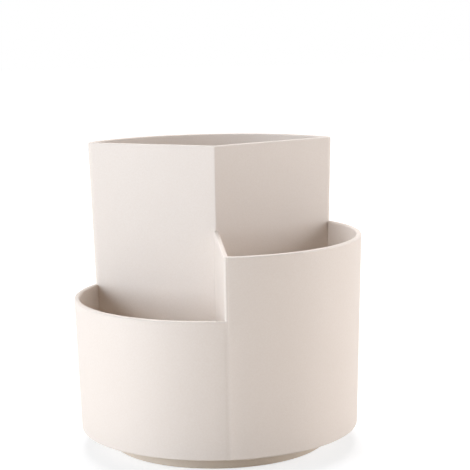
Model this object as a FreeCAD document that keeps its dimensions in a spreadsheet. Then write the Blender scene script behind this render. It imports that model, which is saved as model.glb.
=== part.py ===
import FreeCAD, Part
import os

import Sketcher
from FreeCAD import Vector

# Revolving desk caddy: a holder with three compartments of different heights turns on a round base.
# The origin lies on the turning axis at the surface that the caddy stands on, +Z is up, and the
# divider between the two lower compartments faces -Y. Lengths are millimetres, angles degrees.

DIMENSIONS = {
    # Holder: outer wall, floor and dividing walls
    "skirt_radius": 59.8,
    "wall_draft": 1.7,
    "low_height": 57.0,
    "mid_height": 82.7,
    "tall_height": 120.6,
    "wall": 2.2,
    "divider": 2.0,
    "floor": 2.2,
    "skirt_drop": 7.8,
    "corner_round": 3.2,
    "ridge_round": 0.9,
    "notch_round": 1.2,
    "inner_round": 1.5,
    "rim_round": 0.7,
    "skirt_round": 0.6,
    "crest_rise": 1.5,
    "crest_dip": 0.4,
    "sink_radius": 9.0,
    "sink_depth": 0.09,
    # Holder: what the swivel plate is fastened to
    "boss_circle": 22.0,
    "boss_radius": 4.0,
    "boss_height": 4.2,
    "support_radius": 38.0,
    # Swivel plate with its spindle
    "plate_radius": 43.0,
    "plate_thickness": 3.0,
    "spindle_radius": 5.0,
    "spindle_gap": 0.05,
    "axial_play": 0.2,
    # Ball bearing
    "ball_count": 14,
    "ball_radius": 2.0,
    "race_circle": 31.0,
    "race_gap": 0.1,
    "deck_gap": 1.6,
    "cage_thickness": 0.9,
    "cage_width": 7.0,
    "pocket_gap": 0.15,
    # Base
    "base_radius": 46.8,
    "base_height": 10.6,
    "base_wall": 2.2,
    "deck": 3.0,
    "hub_radius": 9.0,
    "hub_depth": 7.0,
    "rib_count": 8,
    "rib_thickness": 1.8,
    "rib_depth": 3.6,
    "base_round": 1.0,
    # Rubber feet
    "foot_count": 4,
    "foot_radius": 5.0,
    "foot_thickness": 1.4,
    "foot_proud": 0.6,
    "foot_gap": 0.1,
    "foot_lip": 1.6,
    "foot_round": 0.4,
    # Screws and washer
    "thread_gap": 0.05,
    "plate_screw_radius": 1.5,
    "plate_screw_head": 3.0,
    "plate_screw_length": 7.4,
    "pivot_screw_radius": 1.75,
    "pivot_screw_head": 3.8,
    "pivot_head_height": 1.6,
    "pivot_screw_length": 9.0,
    "tip_length": 1.2,
    "hole_spare": 0.6,
    "slot_width": 0.9,
    "slot_span": 3.4,
    "slot_depth": 1.0,
    "washer_radius": 8.0,
    "washer_thickness": 1.0,
}

# Levels above the standing surface and radii that follow from the dimensions
LEVELS = {
    "deck_top": "=dim.foot_proud + dim.base_height",
    "deck_under": "=deck_top - dim.deck",
    "hub_bottom": "=deck_top - dim.hub_depth",
    "spindle_bottom": "=hub_bottom - dim.axial_play",
    "washer_bottom": "=spindle_bottom - dim.washer_thickness",
    "head_bottom": "=washer_bottom - dim.pivot_head_height",
    "ball_centre": "=deck_top + dim.deck_gap / 2",
    "plate_bottom": "=deck_top + dim.deck_gap",
    "plate_top": "=plate_bottom + dim.plate_thickness",
    "skirt_bottom": "=plate_top - dim.skirt_drop",
    "floor_under": "=plate_top + dim.boss_height",
    "floor_top": "=floor_under + dim.floor",
    "low_rim": "=skirt_bottom + dim.low_height",
    "mid_rim": "=skirt_bottom + dim.mid_height",
    "tall_rim": "=skirt_bottom + dim.tall_height",
    "slope": "=tan(dim.wall_draft)",
    "floor_inner": "=dim.skirt_radius + (floor_top - skirt_bottom) * slope - dim.wall",
    "top_outer": "=dim.skirt_radius + dim.tall_height * slope",
    "reach": "=top_outer + dim.wall / 2",
    "blank_radius": "=top_outer + dim.wall",
    "half_divider": "=dim.divider / 2",
    "race_radius": "=dim.ball_radius + dim.race_gap",
    "hub_bore": "=dim.spindle_radius + dim.spindle_gap",
    "plate_screw_hole": "=dim.plate_screw_radius + dim.thread_gap",
    "pivot_hole": "=dim.pivot_screw_radius + dim.thread_gap",
    "foot_seat": "=dim.foot_radius + dim.foot_gap",
    "foot_circle": "=dim.base_radius - dim.base_wall - foot_seat",
}

# Directions of the dividing walls, seen from above: two tall walls and the lower one at the front
RIGHT_WALL = 30
LEFT_WALL = 150
FRONT_WALL = 270

# Half the angle between two dividing walls
HALF_ANGLE = 60

# How far the middle stretch of the wall runs on past the right dividing wall, behind its rounded corner
OVERLAP = 8

# Direction of the first foot
FIRST_FOOT = 45

# A sketch's own origin, and the points of its edges
ROOT = -1
START, END, CENTRE = range(1, 4)

# How close counts as touching, and how steep an edge counts as upright
TOUCH = 1e-4
STEEP = 0.9

doc = FreeCAD.newDocument("caddy")


def fill_sheet(name, cells):
    """Write one named value per row, with its alias."""
    sheet = doc.addObject("Spreadsheet::Sheet", name)
    for row, (alias, content) in enumerate(cells.items(), 1):
        sheet.set(f"A{row}", alias)
        sheet.set(f"B{row}", str(content))
        sheet.setAlias(f"B{row}", alias)
    doc.recompute()
    return sheet


dim = fill_sheet("dim", DIMENSIONS)
lvl = fill_sheet("lvl", LEVELS)


def value(expression):
    """Number that an expression on the sheets gives."""
    result = dim.evalExpression(expression)
    return float(getattr(result, "Value", result))


def new_body(name):
    body = doc.addObject("PartDesign::Body", name)
    body.Label = name
    return body


def origin_part(body, role):
    return next(part for part in body.Origin.OriginFeatures if part.Role == role)


def new_sketch(body, name, role, level=None):
    """Sketch on one of the body's origin planes, raised to a level where one is given."""
    sketch = body.newObject("Sketcher::SketchObject", name)
    sketch.AttachmentSupport = (origin_part(body, role), [""])
    sketch.MapMode = "FlatFace"
    if level:
        sketch.setExpression("AttachmentOffset.Base.z", level)
    return sketch


def bind(sketch, constraint, expression):
    row = sketch.addConstraint(constraint)
    sketch.setExpression(f"Constraints[{row}]", expression)


def pin(sketch, edge, point, across, up):
    """Hold a point of the sketch at two expressions, measured from the sketch's origin."""
    bind(sketch, Sketcher.Constraint("DistanceX", ROOT, START, edge, point, value(across)), across)
    bind(sketch, Sketcher.Constraint("DistanceY", ROOT, START, edge, point, value(up)), up)


def draw_outline(sketch, corners):
    """Closed outline of straight edges through corners that are pairs of expressions."""
    places = [Vector(value(across), value(up), 0) for across, up in corners]
    following = places[1:] + places[:1]
    for place, after in zip(places, following):
        sketch.addGeometry(Part.LineSegment(place, after))
    for edge in range(len(places)):
        after = (edge + 1) % len(places)
        sketch.addConstraint(Sketcher.Constraint("Coincident", edge, END, after, START))
    for edge, (across, up) in enumerate(corners):
        pin(sketch, edge, START, across, up)


def draw_circle(sketch, across, up, radius):
    centre = Vector(value(across), value(up), 0)
    edge = sketch.addGeometry(Part.Circle(centre, Vector(0, 0, 1), value(radius)))
    pin(sketch, edge, CENTRE, across, up)
    bind(sketch, Sketcher.Constraint("Radius", edge, value(radius)), radius)


def check_step(body, feature, volume_before, adds):
    """Recompute, and stop where a feature adds or removes nothing."""
    body.Tip = feature
    doc.recompute()
    change = feature.Shape.Volume - volume_before
    if change * (1 if adds else -1) <= 0:
        raise ValueError(f"{feature.Name} changes nothing")
    return feature


def tip_volume(body):
    return body.Tip.Shape.Volume if body.Tip else 0.0


def revolve(body, name, corners, adds=True):
    """Turn an outline of radius and height pairs about the vertical axis."""
    before = tip_volume(body)
    sketch = new_sketch(body, f"{name}_section", "XZ_Plane")
    draw_outline(sketch, corners)
    feature = body.newObject("PartDesign::Revolution" if adds else "PartDesign::Groove", name)
    feature.Profile = sketch
    feature.ReferenceAxis = (sketch, ["V_Axis"])
    feature.Angle = 360
    return check_step(body, feature, before, adds)


def ball_groove(body, name):
    """Round groove that the bearing balls run in."""
    before = tip_volume(body)
    sketch = new_sketch(body, f"{name}_section", "XZ_Plane")
    draw_circle(sketch, "dim.race_circle", "lvl.ball_centre", "lvl.race_radius")
    feature = body.newObject("PartDesign::Groove", name)
    feature.Profile = sketch
    feature.ReferenceAxis = (sketch, ["V_Axis"])
    feature.Angle = 360
    return check_step(body, feature, before, False)


def extrude(body, name, sketch, length, adds=True, upward=True):
    """Pad or pocket a level sketch upwards or downwards."""
    before = tip_volume(body)
    feature = body.newObject("PartDesign::Pad" if adds else "PartDesign::Pocket", name)
    feature.Profile = sketch
    feature.setExpression("Length", length)
    feature.Reversed = upward != adds
    return check_step(body, feature, before, adds)


def around_axis(body, name, features, count, adds=True):
    """Repeat features evenly about the vertical axis."""
    before = tip_volume(body)
    pattern = body.newObject("PartDesign::PolarPattern", name)
    pattern.Originals = features
    pattern.Axis = (origin_part(body, "Z_Axis"), [""])
    pattern.Angle = 360
    pattern.setExpression("Occurrences", count)
    return check_step(body, pattern, before, adds)


def dress_edges(body, name, size, chosen, kind="Fillet"):
    """Fillet or chamfer the edges of the body that a test picks out."""
    base = body.Tip
    edges = [f"Edge{n}" for n, edge in enumerate(base.Shape.Edges, 1) if chosen(edge)]
    if not edges:
        raise ValueError(f"{name} finds no edge")
    feature = body.newObject(f"PartDesign::{kind}", name)
    feature.Base = (base, edges)
    feature.setExpression("Radius" if kind == "Fillet" else "Size", size)
    body.Tip = feature
    doc.recompute()
    return feature


def middle(edge):
    return edge.valueAt((edge.FirstParameter + edge.LastParameter) / 2)


def radius_of(point):
    return Vector(point.x, point.y, 0).Length


def lies_level(edge, level):
    """Whether an edge lies in the level plane at this height."""
    points = [vertex.Point for vertex in edge.Vertexes] + [middle(edge)]
    return all(abs(point.z - level) < TOUCH for point in points)


def is_upright(edge):
    """Whether an edge climbs a wall rather than following a rim or the floor."""
    low, high = sorted(vertex.Point.z for vertex in (edge.Vertexes[0], edge.Vertexes[-1]))
    return high - low > STEEP * edge.Length


def wall_outline(angle):
    """Outline of one dividing wall from above, mitred at the axis and reaching past the outer wall."""
    inner = f"(-lvl.half_divider / tan({HALF_ANGLE}))"
    corners = [(inner, 1), (inner, -1), ("lvl.reach", -1), ("lvl.reach", 1)]
    return [
        (
            f"{along} * cos({angle}) - {side} * lvl.half_divider * sin({angle})",
            f"{along} * sin({angle}) + {side} * lvl.half_divider * cos({angle})",
        )
        for along, side in corners
    ]


def on_ray(angle):
    """Point past the outer wall in a direction seen from above."""
    return (f"2 * lvl.reach * cos({angle})", f"2 * lvl.reach * sin({angle})")


def outside_outline():
    """Section of everything outside the drafted outer wall."""
    beyond = "dim.wall"
    return [
        (f"dim.skirt_radius - {beyond} * lvl.slope", f"lvl.skirt_bottom - {beyond}"),
        (f"lvl.blank_radius + {beyond}", f"lvl.skirt_bottom - {beyond}"),
        (f"lvl.blank_radius + {beyond}", f"lvl.tall_rim + {beyond}"),
        (f"lvl.top_outer + {beyond} * lvl.slope", f"lvl.tall_rim + {beyond}"),
    ]


def outer_radius(level):
    return value("dim.skirt_radius") + (level - value("lvl.skirt_bottom")) * value("lvl.slope")


def on_outside(edge):
    """Whether an edge lies on the drafted outer wall."""
    point = middle(edge)
    return abs(radius_of(point) - outer_radius(point.z)) < TOUCH


def make_low_cup():
    """Floor, skirt and the outer wall up to the low rim, all the way round."""
    body = new_body("low_cup")
    skirt_inner = "dim.skirt_radius - dim.wall"
    support_outer = "dim.support_radius + dim.wall"
    low_outer = "dim.skirt_radius + dim.low_height * lvl.slope"
    revolve(body, "cup", [
        ("0", "lvl.floor_under"),
        ("dim.support_radius", "lvl.floor_under"),
        ("dim.support_radius", "lvl.plate_top"),
        (support_outer, "lvl.plate_top"),
        (support_outer, "lvl.floor_under"),
        (skirt_inner, "lvl.floor_under"),
        (skirt_inner, "lvl.skirt_bottom"),
        ("dim.skirt_radius", "lvl.skirt_bottom"),
        (low_outer, "lvl.low_rim"),
        (f"{low_outer} - dim.wall", "lvl.low_rim"),
        ("lvl.floor_inner", "lvl.floor_top"),
        ("0", "lvl.floor_top"),
    ])

    # Bosses under the floor, below the dividing walls, take the swivel plate's screws
    place = ("0", "-dim.boss_circle")
    sketch = new_sketch(body, "boss_area", "XY_Plane", "lvl.plate_top")
    draw_circle(sketch, *place, "dim.boss_radius")
    boss = extrude(body, "boss", sketch, "dim.boss_height + dim.floor / 2")
    around_axis(body, "bosses", [boss], "3")
    sketch = new_sketch(body, "boss_hole_area", "XY_Plane", "lvl.plate_top")
    draw_circle(sketch, *place, "lvl.plate_screw_hole")
    depth = "dim.plate_screw_length - dim.plate_thickness + dim.hole_spare"
    hole = extrude(body, "boss_hole", sketch, depth, adds=False)
    around_axis(body, "boss_holes", [hole], "3", adds=False)

    low_rim = value("lvl.low_rim")
    floor_top = value("lvl.floor_top")
    bottom = value("lvl.skirt_bottom")
    dress_edges(body, "low_rim_edge", "dim.rim_round", lambda edge: lies_level(edge, low_rim))
    dress_edges(body, "floor_edge", "dim.inner_round", lambda edge: lies_level(edge, floor_top))
    dress_edges(
        body, "skirt_edge", "dim.skirt_round", lambda edge: lies_level(edge, bottom) and on_outside(edge)
    )
    return body


def make_sector(name, rim, away, walls):
    """Higher stretch of the outer wall with the dividing walls that reach its rim."""
    body = new_body(name)
    root = "lvl.floor_top - dim.floor / 2"
    height = f"{rim} - ({root})"
    root_inner = "lvl.floor_inner - dim.floor / 2 * lvl.slope"
    revolve(body, f"{name}_blank", [
        (root_inner, root),
        ("lvl.blank_radius", root),
        ("lvl.blank_radius", rim),
        (f"{root_inner} + ({height}) * lvl.slope", rim),
    ])

    # The wall ends at the dividing walls' middle planes
    sketch = new_sketch(body, f"{name}_away", "XY_Plane", rim)
    draw_outline(sketch, [("0", "0")] + [on_ray(ray) for ray in away])
    extrude(body, f"{name}_cut", sketch, height, adds=False, upward=False)
    for angle in walls:
        sketch = new_sketch(body, f"{name}_wall_{angle}_area", "XY_Plane", root)
        draw_outline(sketch, wall_outline(angle))
        extrude(body, f"{name}_wall_{angle}", sketch, height)

    # The drafted outside is turned over the wall and the ends of the dividing walls
    revolve(body, f"{name}_outside", outside_outline(), adds=False)
    return body


def make_mid_sector():
    """Middle stretch of the wall with the front dividing wall."""
    away = (RIGHT_WALL + OVERLAP, 90, LEFT_WALL, 210, FRONT_WALL)
    body = make_sector("mid_sector", "lvl.mid_rim", away, (FRONT_WALL,))
    rim = value("lvl.mid_rim")
    wall = value("dim.wall")

    def is_notch(edge):
        return is_upright(edge) and on_outside(edge) and middle(edge).x < 0

    def is_inner_corner(edge):
        point = middle(edge)
        return is_upright(edge) and not on_outside(edge) and 0 < point.x < wall < -point.y

    # The short edges at the ends of the rim lie inside the tall dividing walls
    def is_rim(edge):
        return lies_level(edge, rim) and edge.Length > 1.5 * wall

    dress_edges(body, "notch", "dim.notch_round", is_notch)
    dress_edges(body, "mid_inner_corner", "dim.inner_round", is_inner_corner)
    dress_edges(body, "mid_rim_edge", "dim.rim_round", is_rim)
    return body


def make_tall_sector():
    """Tall stretch of the wall with the two dividing walls that meet in a ridge."""
    away = (RIGHT_WALL, -30, FRONT_WALL, 210, LEFT_WALL)
    body = make_sector("tall_sector", "lvl.tall_rim", away, (RIGHT_WALL, LEFT_WALL))
    rim = value("lvl.tall_rim")

    def is_ridge(edge):
        return is_upright(edge) and middle(edge).y < 0

    def is_corner(edge):
        return is_upright(edge) and on_outside(edge)

    def is_inner_corner(edge):
        return is_upright(edge) and not is_ridge(edge) and not is_corner(edge)

    dress_edges(body, "ridge", "dim.ridge_round", is_ridge)
    dress_edges(body, "corners", "dim.corner_round", is_corner)
    dress_edges(body, "tall_inner_corners", "dim.inner_round", is_inner_corner)
    dress_edges(body, "tall_rim_edge", "dim.rim_round", lambda edge: lies_level(edge, rim))
    return body


def make_crest():
    """Top of the front dividing wall, which rises a little from the middle rim towards the ridge."""
    body = new_body("crest")
    front = "-(dim.skirt_radius + dim.mid_height * lvl.slope - dim.wall)"
    under = "lvl.mid_rim - dim.wall"
    sketch = new_sketch(body, "crest_side", "YZ_Plane", "-lvl.half_divider")
    draw_outline(sketch, [
        ("0", under),
        ("0", "lvl.mid_rim + dim.crest_rise"),
        (front, "lvl.mid_rim - dim.crest_dip"),
        (front, under),
    ])
    extrude(body, "crest_wall", sketch, "dim.divider")
    rim = value("lvl.mid_rim")
    wall = value("dim.wall")

    def is_top(edge):
        return middle(edge).z > rim and edge.Length > 2 * wall

    dress_edges(body, "crest_edges", "dim.rim_round", is_top)
    return body


def make_sink():
    """Long shallow hollow in the outer wall, where the front dividing wall draws it in."""
    sink = doc.addObject("Part::Cylinder", "sink")
    sink.Placement.Rotation = FreeCAD.Rotation(Vector(1, 0, 0), value("dim.wall_draft"))
    sink.setExpression("Radius", "dim.sink_radius")
    sink.setExpression("Height", "dim.mid_height + 3 * dim.sink_radius")
    sink.setExpression("Placement.Rotation.Angle", "dim.wall_draft")
    stand_off = "(dim.sink_radius - dim.sink_depth)"
    start = "dim.sink_radius"
    lean = "sin(dim.wall_draft)"
    rise = "cos(dim.wall_draft)"
    sink.setExpression(
        "Placement.Base.y", f"-dim.skirt_radius - {stand_off} * {rise} + {start} * {lean}"
    )
    sink.setExpression(
        "Placement.Base.z", f"lvl.skirt_bottom - {stand_off} * {lean} - {start} * {rise}"
    )
    return sink


def make_holder():
    """One moulding of the cup and its two higher sectors."""
    moulding = doc.addObject("Part::MultiFuse", "moulding")
    moulding.Shapes = [make_low_cup(), make_mid_sector(), make_tall_sector(), make_crest()]
    moulding.Refine = True
    holder = doc.addObject("Part::Cut", "holder_body")
    holder.Label = "holder_body"
    holder.Base = moulding
    holder.Tool = make_sink()
    doc.recompute()
    return holder


def make_swivel_plate():
    """Plate under the holder's floor, with the upper ball race and the pivot spindle."""
    body = new_body("swivel_plate")
    hole_top = "lvl.washer_bottom + dim.pivot_screw_length + dim.hole_spare"
    revolve(body, "plate_and_spindle", [
        ("0", "lvl.plate_top"),
        ("0", hole_top),
        ("lvl.pivot_hole", hole_top),
        ("lvl.pivot_hole", "lvl.spindle_bottom"),
        ("dim.spindle_radius", "lvl.spindle_bottom"),
        ("dim.spindle_radius", "lvl.plate_bottom"),
        ("dim.plate_radius", "lvl.plate_bottom"),
        ("dim.plate_radius", "lvl.plate_top"),
    ])
    ball_groove(body, "upper_race")

    # Countersunk holes for the three screws
    sketch = new_sketch(body, "screw_hole_area", "XY_Plane", "lvl.plate_bottom")
    draw_circle(sketch, "0", "-dim.boss_circle", "lvl.plate_screw_hole")
    hole = extrude(body, "screw_hole", sketch, "dim.plate_thickness", adds=False)
    around_axis(body, "screw_holes", [hole], "3", adds=False)
    level = value("lvl.plate_bottom")
    hole_radius = value("lvl.plate_screw_hole")

    def is_hole_mouth(edge):
        return lies_level(edge, level) and abs(edge.Curve.Radius - hole_radius) < TOUCH

    flare = "dim.plate_screw_head - dim.plate_screw_radius"
    dress_edges(body, "countersinks", flare, is_hole_mouth, "Chamfer")
    return body


def cross_recess(body, level):
    """Cross-shaped driver recess in a screw's head, which faces down."""
    half = "dim.slot_width / 2"
    end = "dim.slot_span / 2"
    quarter = [(half, half), (half, end), (f"-{half}", end)]
    corners = list(quarter)
    for _ in range(3):
        quarter = [(f"-({up})", across) for across, up in quarter]
        corners += quarter
    sketch = new_sketch(body, f"{body.Name}_recess_area", "XY_Plane", level)
    draw_outline(sketch, corners)
    extrude(body, f"{body.Name}_recess", sketch, "dim.slot_depth", adds=False)


def make_plate_screws():
    """Three countersunk screws, driven from below through the swivel plate."""
    head_top = "lvl.plate_bottom + dim.plate_screw_head - dim.plate_screw_radius"
    tip = "lvl.plate_bottom + dim.plate_screw_length"
    screws = []
    for number, angle in enumerate((RIGHT_WALL, LEFT_WALL, FRONT_WALL), 1):
        body = new_body(f"plate_screw_{number}")
        revolve(body, f"plate_screw_{number}_turned", [
            ("0", "lvl.plate_bottom"),
            ("dim.plate_screw_head", "lvl.plate_bottom"),
            ("dim.plate_screw_radius", head_top),
            ("dim.plate_screw_radius", f"{tip} - dim.tip_length"),
            ("0", tip),
        ])
        cross_recess(body, "lvl.plate_bottom")
        place_on_circle(body, "dim.boss_circle", str(angle))
        screws.append(body)
    group = doc.addObject("Part::Compound", "plate_screws")
    group.Label = "plate_screws"
    group.Links = screws
    return group


def place_on_circle(piece, radius, angle):
    piece.setExpression("Placement.Base.x", f"{radius} * cos({angle})")
    piece.setExpression("Placement.Base.y", f"{radius} * sin({angle})")


def make_ball_cage():
    """Flat ring with a pocket for each ball."""
    body = new_body("ball_cage")
    inner = "dim.race_circle - dim.cage_width / 2"
    outer = "dim.race_circle + dim.cage_width / 2"
    under = "lvl.ball_centre - dim.cage_thickness / 2"
    over = "lvl.ball_centre + dim.cage_thickness / 2"
    revolve(body, "ring", [(inner, under), (outer, under), (outer, over), (inner, over)])
    sketch = new_sketch(body, "pocket_area", "XY_Plane", under)
    draw_circle(sketch, "dim.race_circle", "0", "dim.ball_radius + dim.pocket_gap")
    pocket = extrude(body, "pocket", sketch, "dim.cage_thickness", adds=False)
    around_axis(body, "pockets", [pocket], "dim.ball_count", adds=False)
    return body


def make_balls():
    balls = []
    for number in range(int(value("dim.ball_count"))):
        ball = doc.addObject("Part::Sphere", f"bearing_ball_{number + 1:02d}")
        ball.Label = ball.Name
        ball.setExpression("Radius", "dim.ball_radius")
        place_on_circle(ball, "dim.race_circle", f"360 * {number} / dim.ball_count")
        ball.setExpression("Placement.Base.z", "lvl.ball_centre")
        balls.append(ball)
    return balls


def make_base():
    """Round foot: deck with the lower ball race, side wall, hub, ribs and seats for the feet."""
    body = new_body("base_shell")
    wall_inner = "dim.base_radius - dim.base_wall"
    revolve(body, "deck_wall_and_hub", [
        ("lvl.hub_bore", "lvl.deck_top"),
        ("dim.base_radius", "lvl.deck_top"),
        ("dim.base_radius", "dim.foot_proud"),
        (wall_inner, "dim.foot_proud"),
        (wall_inner, "lvl.deck_under"),
        ("dim.hub_radius", "lvl.deck_under"),
        ("dim.hub_radius", "lvl.hub_bottom"),
        ("lvl.hub_bore", "lvl.hub_bottom"),
    ])
    ball_groove(body, "lower_race")

    # Ribs under the deck from the hub to the side wall
    rib_start = "(lvl.hub_bore + dim.hub_radius) / 2"
    rib_end = "dim.base_radius - dim.base_wall / 2"
    half = "dim.rib_thickness / 2"
    sketch = new_sketch(body, "rib_area", "XY_Plane", "lvl.deck_under")
    draw_outline(sketch, [
        (rib_start, f"-{half}"),
        (rib_end, f"-{half}"),
        (rib_end, half),
        (rib_start, half),
    ])
    rib = extrude(body, "rib", sketch, "dim.rib_depth", upward=False)
    around_axis(body, "ribs", [rib], "dim.rib_count")

    # Seats for the rubber feet
    place = (f"lvl.foot_circle * cos({FIRST_FOOT})", f"lvl.foot_circle * sin({FIRST_FOOT})")
    sketch = new_sketch(body, "seat_area", "XY_Plane", "dim.foot_proud")
    draw_circle(sketch, *place, "lvl.foot_seat + dim.foot_lip")
    seat = extrude(body, "seat", sketch, "lvl.deck_under - dim.foot_proud + dim.deck / 2")
    around_axis(body, "seats", [seat], "dim.foot_count")
    sketch = new_sketch(body, "seat_recess_area", "XY_Plane", "dim.foot_proud")
    draw_circle(sketch, *place, "lvl.foot_seat")
    recess = extrude(body, "seat_recess", sketch, "dim.foot_thickness - dim.foot_proud", adds=False)
    around_axis(body, "seat_recesses", [recess], "dim.foot_count", adds=False)

    levels = [value("dim.foot_proud"), value("lvl.deck_top")]
    rim = value("dim.base_radius")

    def is_outer_edge(edge):
        on_level = any(lies_level(edge, level) for level in levels)
        return on_level and abs(radius_of(middle(edge)) - rim) < TOUCH

    dress_edges(body, "base_edges", "dim.base_round", is_outer_edge)
    return body


def make_feet():
    feet = []
    for number in range(int(value("dim.foot_count"))):
        name = f"foot_pad_{number + 1}"
        body = new_body(name)
        revolve(body, f"{name}_turned", [
            ("0", "0"),
            ("dim.foot_radius", "0"),
            ("dim.foot_radius", "dim.foot_thickness"),
            ("0", "dim.foot_thickness"),
        ])
        dress_edges(body, f"{name}_edge", "dim.foot_round", lambda edge: lies_level(edge, 0))
        place_on_circle(body, "lvl.foot_circle", f"({FIRST_FOOT} + 360 * {number} / dim.foot_count)")
        feet.append(body)
    return feet


def make_pivot_washer():
    body = new_body("pivot_washer")
    revolve(body, "washer", [
        ("lvl.pivot_hole", "lvl.washer_bottom"),
        ("dim.washer_radius", "lvl.washer_bottom"),
        ("dim.washer_radius", "lvl.spindle_bottom"),
        ("lvl.pivot_hole", "lvl.spindle_bottom"),
    ])
    return body


def make_pivot_screw():
    """Screw from below into the spindle, which holds the washer under the base's hub."""
    body = new_body("pivot_screw")
    tip = "lvl.washer_bottom + dim.pivot_screw_length"
    revolve(body, "pivot_screw_turned", [
        ("0", "lvl.head_bottom"),
        ("dim.pivot_screw_head", "lvl.head_bottom"),
        ("dim.pivot_screw_head", "lvl.washer_bottom"),
        ("dim.pivot_screw_radius", "lvl.washer_bottom"),
        ("dim.pivot_screw_radius", f"{tip} - dim.tip_length"),
        ("0", tip),
    ])
    level = value("lvl.head_bottom")
    dress_edges(body, "pan_head", "dim.pivot_head_height / 2", lambda edge: lies_level(edge, level))
    cross_recess(body, "lvl.head_bottom")
    return body


def finish():
    """Check every object of the document and write each sub-part."""
    doc.recompute()
    failed = [item.Name for item in doc.Objects if {"Invalid", "Error"} & set(item.State)]
    if failed:
        raise ValueError(f"failed: {failed}")
    os.makedirs("parts", exist_ok=True)
    for piece in pieces:
        shape = piece.Shape
        if shape.isNull() or not shape.isValid():
            raise ValueError(f"{piece.Label} has no valid shape")
        shape.exportStep(f"parts/{piece.Label}.step")
        print(piece.Label, len(shape.Solids), round(shape.Volume, 2))


pieces = [
    make_holder(),
    make_swivel_plate(),
    make_plate_screws(),
    make_ball_cage(),
    *make_balls(),
    make_base(),
    *make_feet(),
    make_pivot_washer(),
    make_pivot_screw(),
]
finish()
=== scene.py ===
import math

import bpy
from mathutils import Matrix, Vector

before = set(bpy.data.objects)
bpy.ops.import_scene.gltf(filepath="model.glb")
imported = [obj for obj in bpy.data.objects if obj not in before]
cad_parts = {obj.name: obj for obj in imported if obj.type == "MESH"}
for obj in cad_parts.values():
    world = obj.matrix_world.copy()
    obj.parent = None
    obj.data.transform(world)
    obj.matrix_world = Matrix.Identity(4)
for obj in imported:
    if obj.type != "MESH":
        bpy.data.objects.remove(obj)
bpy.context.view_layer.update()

# Looks of the revolving desk caddy: finishes for every piece, floor, studio light and camera.
# Lengths are metres in the frame of the solids, with +Z up and the front divider towards -Y.

MM = 0.001


def linear(hex_colour):
    """Linear RGBA of an sRGB hex colour."""
    channels = [int(hex_colour[place:place + 2], 16) / 255 for place in (1, 3, 5)]
    return [c / 12.92 if c <= 0.04045 else ((c + 0.055) / 1.055) ** 2.4 for c in channels] + [1.0]


def socket(sockets, name):
    """Socket by its place or name, where a node hides others of that name for other kinds of data."""
    if isinstance(name, int):
        return sockets[name]
    return next(item for item in sockets if item.name == name and item.enabled)


def add(tree, kind, settings=None, links=None, **inputs):
    """Add a node, set its properties and input values, and link its inputs to other nodes' outputs."""
    node = tree.nodes.new(kind)
    for name, content in (settings or {}).items():
        setattr(node, name, content)
    for name, content in inputs.items():
        socket(node.inputs, name.replace("_", " ")).default_value = content
    for name, output in (links or {}).items():
        tree.links.new(output, socket(node.inputs, name))
    return node


def new_material(name):
    material = bpy.data.materials.new(name)
    material.use_nodes = True
    material.node_tree.nodes.clear()
    return material


def per_metre(size_mm):
    """Scale of a pattern whose features are this many millimetres wide."""
    return 1 / (size_mm * MM)


def divider_painted_light(tree, place):
    """Brightness painted at the front divider: painted shade and light along the sink crease below, a
    painted highlight line above.
    """
    crease_shade_reach = 6 * MM
    crease_shade_change = 0.035
    line_middle = 0.5 * MM
    line_reach = 0.16 * MM
    highlight_change = 0.06
    plain = 1.0
    axes = add(tree, "ShaderNodeSeparateXYZ", links={"Vector": place})
    across = axes.outputs["X"]
    # Painted shade, dark just left of the divider, and painted light, pale just right of it, deepen the
    # look of the shallow sink crease in the wall, and fade out on both sides
    rise = add(tree, "ShaderNodeMapRange", links={"Value": across}, From_Min=-crease_shade_reach, From_Max=0.0)
    fall = add(
        tree, "ShaderNodeMapRange", links={"Value": across},
        From_Min=0.0, From_Max=crease_shade_reach, To_Min=1.0, To_Max=0.0,
    )
    turn = add(
        tree, "ShaderNodeMapRange", links={"Value": across},
        From_Min=-0.2 * MM, From_Max=1.4 * MM, To_Min=-crease_shade_change, To_Max=crease_shade_change,
    )
    swell = add(
        tree, "ShaderNodeMath", {"operation": "MULTIPLY"},
        {0: rise.outputs["Result"], 1: fall.outputs["Result"]},
    )
    flow_and_painted_shade = add(
        tree, "ShaderNodeMath", {"operation": "MULTIPLY"},
        {0: swell.outputs[0], 1: turn.outputs["Result"]},
    )
    # A bright hair-line is painted on the middle wall, a painted highlight along the crease's edge
    line = add(tree, "ShaderNodeMath", {"operation": "COMPARE"}, {0: across})
    line.inputs[1].default_value = line_middle
    line.inputs[2].default_value = line_reach
    fine = add(tree, "ShaderNodeMath", {"operation": "MULTIPLY"}, {0: line.outputs[0]})
    fine.inputs[1].default_value = highlight_change
    # The painted crease shade gives way to the painted highlight line just below the low rim
    above = add(
        tree, "ShaderNodeMapRange", links={"Value": axes.outputs["Z"]},
        From_Min=56 * MM, From_Max=64 * MM,
    )
    painted_mark = add(
        tree, "ShaderNodeMix",
        links={"Factor": above.outputs["Result"], "A": flow_and_painted_shade.outputs[0], "B": fine.outputs[0]},
    )
    # Only the outer wall at the front is painted with either of them
    front = add(
        tree, "ShaderNodeMapRange", links={"Value": axes.outputs["Y"]},
        From_Min=-50 * MM, From_Max=-56 * MM,
    )
    brightness = add(
        tree, "ShaderNodeMath", {"operation": "MULTIPLY_ADD"},
        {0: socket(painted_mark.outputs, "Result"), 1: front.outputs["Result"]},
    )
    brightness.inputs[2].default_value = plain
    return brightness.outputs[0]


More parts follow.
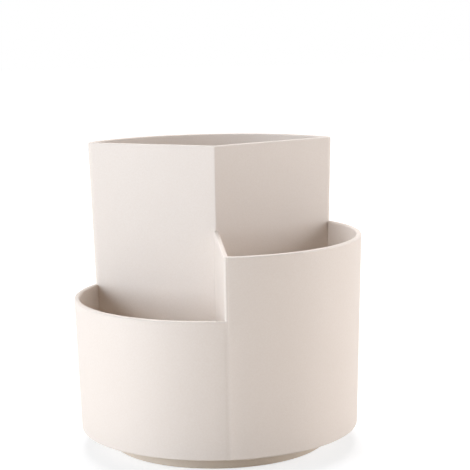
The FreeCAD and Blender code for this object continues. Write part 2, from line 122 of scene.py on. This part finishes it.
def moulded_abs(name, peaks, clouds, pit_shade):
    """Moulded ABS: an even warm off-white, a soft satin sheen and the sandy grain of an eroded mould."""
    material = new_material(name)
    tree = material.node_tree
    place = add(tree, "ShaderNodeTexCoord").outputs["Object"]
    mottle = add(tree, "ShaderNodeTexNoise", links={"Vector": place}, Scale=per_metre(24), Detail=3.0)
    # The mould's grain is about 0.15 mm wide, drawn at 0.7 mm so that it shows
    grain = add(tree, "ShaderNodeTexNoise", links={"Vector": place}, Scale=per_metre(0.7), Detail=2.0)
    cloud = add(
        tree, "ShaderNodeMix", {"data_type": "RGBA"}, {"Factor": mottle.outputs["Fac"]},
        A=linear(peaks), B=linear(clouds),
    )
    # The grain's pits are painted a little darker than its peaks, as painted shade in the hollows
    tone = add(
        tree, "ShaderNodeMix", {"data_type": "RGBA"},
        {"Factor": grain.outputs["Fac"], "B": socket(cloud.outputs, "Result")}, A=linear(pit_shade),
    )
    # The colour carries painted shade and light along the front divider's sink crease
    crease_painted = add(
        tree, "ShaderNodeHueSaturation",
        links={"Color": socket(tone.outputs, "Result"), "Value": divider_painted_light(tree, place)},
    )
    sheen = add(
        tree, "ShaderNodeMapRange", links={"Value": grain.outputs["Fac"]}, To_Min=0.62, To_Max=0.48
    )
    bump = add(
        tree, "ShaderNodeBump", links={"Height": grain.outputs["Fac"]}, Strength=0.2, Distance=0.06 * MM
    )
    shader = add(
        tree, "ShaderNodeBsdfPrincipled",
        links={
            "Base Color": crease_painted.outputs["Color"],
            "Roughness": sheen.outputs["Result"],
            "Normal": bump.outputs["Normal"],
        },
        IOR=1.53,
    )
    add(tree, "ShaderNodeOutputMaterial", links={"Surface": shader.outputs["BSDF"]})
    return material


def moulded_acetal():
    """White moulded acetal: waxy, slightly translucent, smoother than the holder, faintly clouded."""
    material = new_material("moulded acetal")
    tree = material.node_tree
    place = add(tree, "ShaderNodeTexCoord").outputs["Object"]
    flow_and_painted_shade = add(
        tree, "ShaderNodeTexNoise", links={"Vector": place}, Scale=per_metre(9), Detail=4.0, Distortion=0.8
    )
    tone = add(
        tree, "ShaderNodeMix", {"data_type": "RGBA"}, {"Factor": flow_and_painted_shade.outputs["Fac"]},
        A=linear("#E9E8E3"), B=linear("#DFDED8"),
    )
    sheen = add(tree, "ShaderNodeMapRange", links={"Value": flow_and_painted_shade.outputs["Fac"]}, To_Min=0.3, To_Max=0.4)
    shader = add(
        tree, "ShaderNodeBsdfPrincipled",
        links={"Base Color": socket(tone.outputs, "Result"), "Roughness": sheen.outputs["Result"]},
        IOR=1.48, Subsurface_Weight=0.12, Subsurface_Scale=1.5 * MM,
    )
    add(tree, "ShaderNodeOutputMaterial", links={"Surface": shader.outputs["BSDF"]})
    return material


def zinc_plate():
    """Zinc-plated steel: a pale grey metal whose passivated crystals vary in brightness and gloss."""
    material = new_material("zinc-plated steel")
    tree = material.node_tree
    place = add(tree, "ShaderNodeTexCoord").outputs["Object"]
    # The crystals are some hundredths of a millimetre wide, drawn at 0.6 mm so that they show
    crystals = add(tree, "ShaderNodeTexVoronoi", links={"Vector": place}, Scale=per_metre(0.6))
    tone = add(
        tree, "ShaderNodeMix", {"data_type": "RGBA"}, {"Factor": crystals.outputs["Color"]},
        A=linear("#B4B9BD"), B=linear("#CCCDC8"),
    )
    gloss = add(
        tree, "ShaderNodeMapRange", links={"Value": crystals.outputs["Color"]}, To_Min=0.24, To_Max=0.38
    )
    shader = add(
        tree, "ShaderNodeBsdfPrincipled",
        links={"Base Color": socket(tone.outputs, "Result"), "Roughness": gloss.outputs["Result"]},
        Metallic=1.0,
    )
    add(tree, "ShaderNodeOutputMaterial", links={"Surface": shader.outputs["BSDF"]})
    return material


def polished_steel():
    """Polished bearing steel: a bright neutral mirror, dulled a little by the grease's wiped film."""
    material = new_material("polished bearing steel")
    tree = material.node_tree
    place = add(tree, "ShaderNodeTexCoord").outputs["Object"]
    film = add(tree, "ShaderNodeTexNoise", links={"Vector": place}, Scale=per_metre(1.5), Detail=3.0)
    gloss = add(tree, "ShaderNodeMapRange", links={"Value": film.outputs["Fac"]}, To_Min=0.06, To_Max=0.2)
    tone = add(
        tree, "ShaderNodeMix", {"data_type": "RGBA"}, {"Factor": film.outputs["Fac"]},
        A=linear("#CFD1D3"), B=linear("#C2C4C6"),
    )
    shader = add(
        tree, "ShaderNodeBsdfPrincipled",
        links={"Base Color": socket(tone.outputs, "Result"), "Roughness": gloss.outputs["Result"]},
        Metallic=1.0,
    )
    add(tree, "ShaderNodeOutputMaterial", links={"Surface": shader.outputs["BSDF"]})
    return material


def foot_rubber():
    """Moulded rubber: a dull dark grey with a fine, dusty grain."""
    material = new_material("moulded rubber")
    tree = material.node_tree
    place = add(tree, "ShaderNodeTexCoord").outputs["Object"]
    # The grain is about 0.1 mm wide, drawn at 0.4 mm so that it shows
    grain = add(tree, "ShaderNodeTexNoise", links={"Vector": place}, Scale=per_metre(0.4), Detail=3.0)
    tone = add(
        tree, "ShaderNodeMix", {"data_type": "RGBA"}, {"Factor": grain.outputs["Fac"]},
        A=linear("#2A2928"), B=linear("#3D3B39"),
    )
    bump = add(
        tree, "ShaderNodeBump", links={"Height": grain.outputs["Fac"]}, Strength=0.3, Distance=0.05 * MM
    )
    shader = add(
        tree, "ShaderNodeBsdfPrincipled",
        links={"Base Color": socket(tone.outputs, "Result"), "Normal": bump.outputs["Normal"]},
        Roughness=0.85, IOR=1.52,
    )
    add(tree, "ShaderNodeOutputMaterial", links={"Surface": shader.outputs["BSDF"]})
    return material


def dress(material, *starts):
    """Give a finish to every CAD node whose name starts in one of these ways."""
    for name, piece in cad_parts.items():
        if name.startswith(starts):
            piece.data.materials.clear()
            piece.data.materials.append(material)


dress(moulded_abs("cream moulded ABS", peaks="#F1E7DE", clouds="#EDE2D8", pit_shade="#E9DCD0"), "holder_body")
# The foot is the holder's cream ABS with painted warm shade, made tanner to stand in for the warm shade
# under the skirt
dress(moulded_abs("cream moulded ABS with painted warm shade", peaks="#F1E3D2", clouds="#EDDECC", pit_shade="#E9D8C4"), "base_shell")
dress(moulded_acetal(), "swivel_plate", "ball_cage")
dress(zinc_plate(), "plate_screws", "pivot_")
dress(polished_steel(), "bearing_ball")
dress(foot_rubber(), "foot_pad")


def background_rays(tree):
    """One for rays that show the background: straight to the eye, off gloss or through something clear."""
    rays = add(tree, "ShaderNodeLightPath")
    straight = add(
        tree, "ShaderNodeMath", {"operation": "ADD"},
        {0: rays.outputs["Is Camera Ray"], 1: rays.outputs["Is Glossy Ray"]},
    )
    seen = add(
        tree, "ShaderNodeMath", {"operation": "ADD", "use_clamp": True},
        {0: straight.outputs[0], 1: rays.outputs["Is Transmission Ray"]},
    )
    return seen.outputs[0]


def make_floor():
    """Pale table top, white to the eye out to the horizon but for the caddy's soft shadow."""
    table_width = 8
    bpy.ops.mesh.primitive_plane_add(size=table_width)
    floor = bpy.context.object
    floor.name = "floor"
    material = new_material("white table")
    tree = material.node_tree
    # Far from the caddy the lamps are weak, so the table's own white rises there
    place = add(tree, "ShaderNodeTexCoord").outputs["Object"]
    distance = add(tree, "ShaderNodeVectorMath", {"operation": "LENGTH"}, {0: place})
    white = add(
        tree, "ShaderNodeMapRange", links={"Value": distance.outputs["Value"]},
        From_Min=150 * MM, From_Max=700 * MM, To_Min=0.72, To_Max=1.0,
    )
    table = add(tree, "ShaderNodeBsdfDiffuse", Color=linear("#F3EBE3"))
    shaded = add(tree, "ShaderNodeBsdfDiffuse", Color=linear("#B4B4B4"))
    glow = add(tree, "ShaderNodeEmission", links={"Strength": white.outputs["Result"]})
    pale = add(tree, "ShaderNodeAddShader", links={0: shaded.outputs[0], 1: glow.outputs[0]})
    mix = add(
        tree, "ShaderNodeMixShader",
        links={0: background_rays(tree), 1: table.outputs[0], 2: pale.outputs[0]},
    )
    add(tree, "ShaderNodeOutputMaterial", links={"Surface": mix.outputs[0]})
    floor.data.materials.append(material)


make_floor()


def make_world(ambient, colour):
    """Even soft light from all round, white where the eye or a gloss sees past the table."""
    world = bpy.data.worlds.new("studio")
    bpy.context.scene.world = world
    world.use_nodes = True
    tree = world.node_tree
    tree.nodes.clear()
    dim = add(tree, "ShaderNodeBackground", Color=linear(colour), Strength=ambient)
    white = add(tree, "ShaderNodeBackground", Color=linear("#FFFFFF"), Strength=1.0)
    mix = add(
        tree, "ShaderNodeMixShader",
        links={0: background_rays(tree), 1: dim.outputs[0], 2: white.outputs[0]},
    )
    add(tree, "ShaderNodeOutputWorld", links={"Surface": mix.outputs[0]})


make_world(ambient=0.04, colour="#FFE3C2")


def around(azimuth, elevation, distance):
    """Point at a distance from the axis, by the angle from -Y towards +X and the height angle."""
    a = math.radians(azimuth)
    e = math.radians(elevation)
    return distance * Vector((math.sin(a) * math.cos(e), -math.cos(a) * math.cos(e), math.sin(e)))


def make_lamp(name, azimuth, elevation, power, colour):
    """Square soft box a metre away that faces the caddy's middle."""
    distance = 1.0
    middle = Vector((0, 0, 65 * MM))
    lamp = bpy.data.lights.new(name, "AREA")
    lamp.shape = "SQUARE"
    lamp.size = 0.6
    lamp.energy = power
    lamp.color = linear(colour)[:3]
    stand = bpy.data.objects.new(name, lamp)
    bpy.context.collection.objects.link(stand)
    stand.location = middle + around(azimuth, elevation, distance)
    stand.rotation_euler = (middle - stand.location).to_track_quat("-Z", "Y").to_euler()


make_lamp("key", azimuth=-65, elevation=15, power=8.85, colour="#EAF4FF")
make_lamp("fill", azimuth=74, elevation=15, power=5.95, colour="#F5F8FD")
make_lamp("rim", azimuth=175, elevation=65, power=8.4, colour="#FDFCFF")


def make_camera():
    """Long lens at the photograph's viewing angle."""
    azimuth = -4.2
    elevation = 8.603
    distance = 656.4 * MM
    roll = -1.02
    aim_aside = 8.11 * MM
    aim_height = 90.03 * MM
    aim = Matrix.Rotation(math.radians(azimuth), 3, "Z") @ Vector((aim_aside, 0, aim_height))
    camera = bpy.data.cameras.new("camera")
    camera.sensor_width = 36
    camera.lens = 117.05
    stand = bpy.data.objects.new("camera", camera)
    bpy.context.collection.objects.link(stand)
    place = aim + around(azimuth, elevation, distance)
    turn = (aim - place).to_track_quat("-Z", "Y").to_matrix() @ Matrix.Rotation(math.radians(roll), 3, "Z")
    stand.matrix_world = Matrix.Translation(place) @ turn.to_4x4()
    bpy.context.scene.camera = stand


make_camera()
bpy.context.scene.view_settings.view_transform = "Standard"
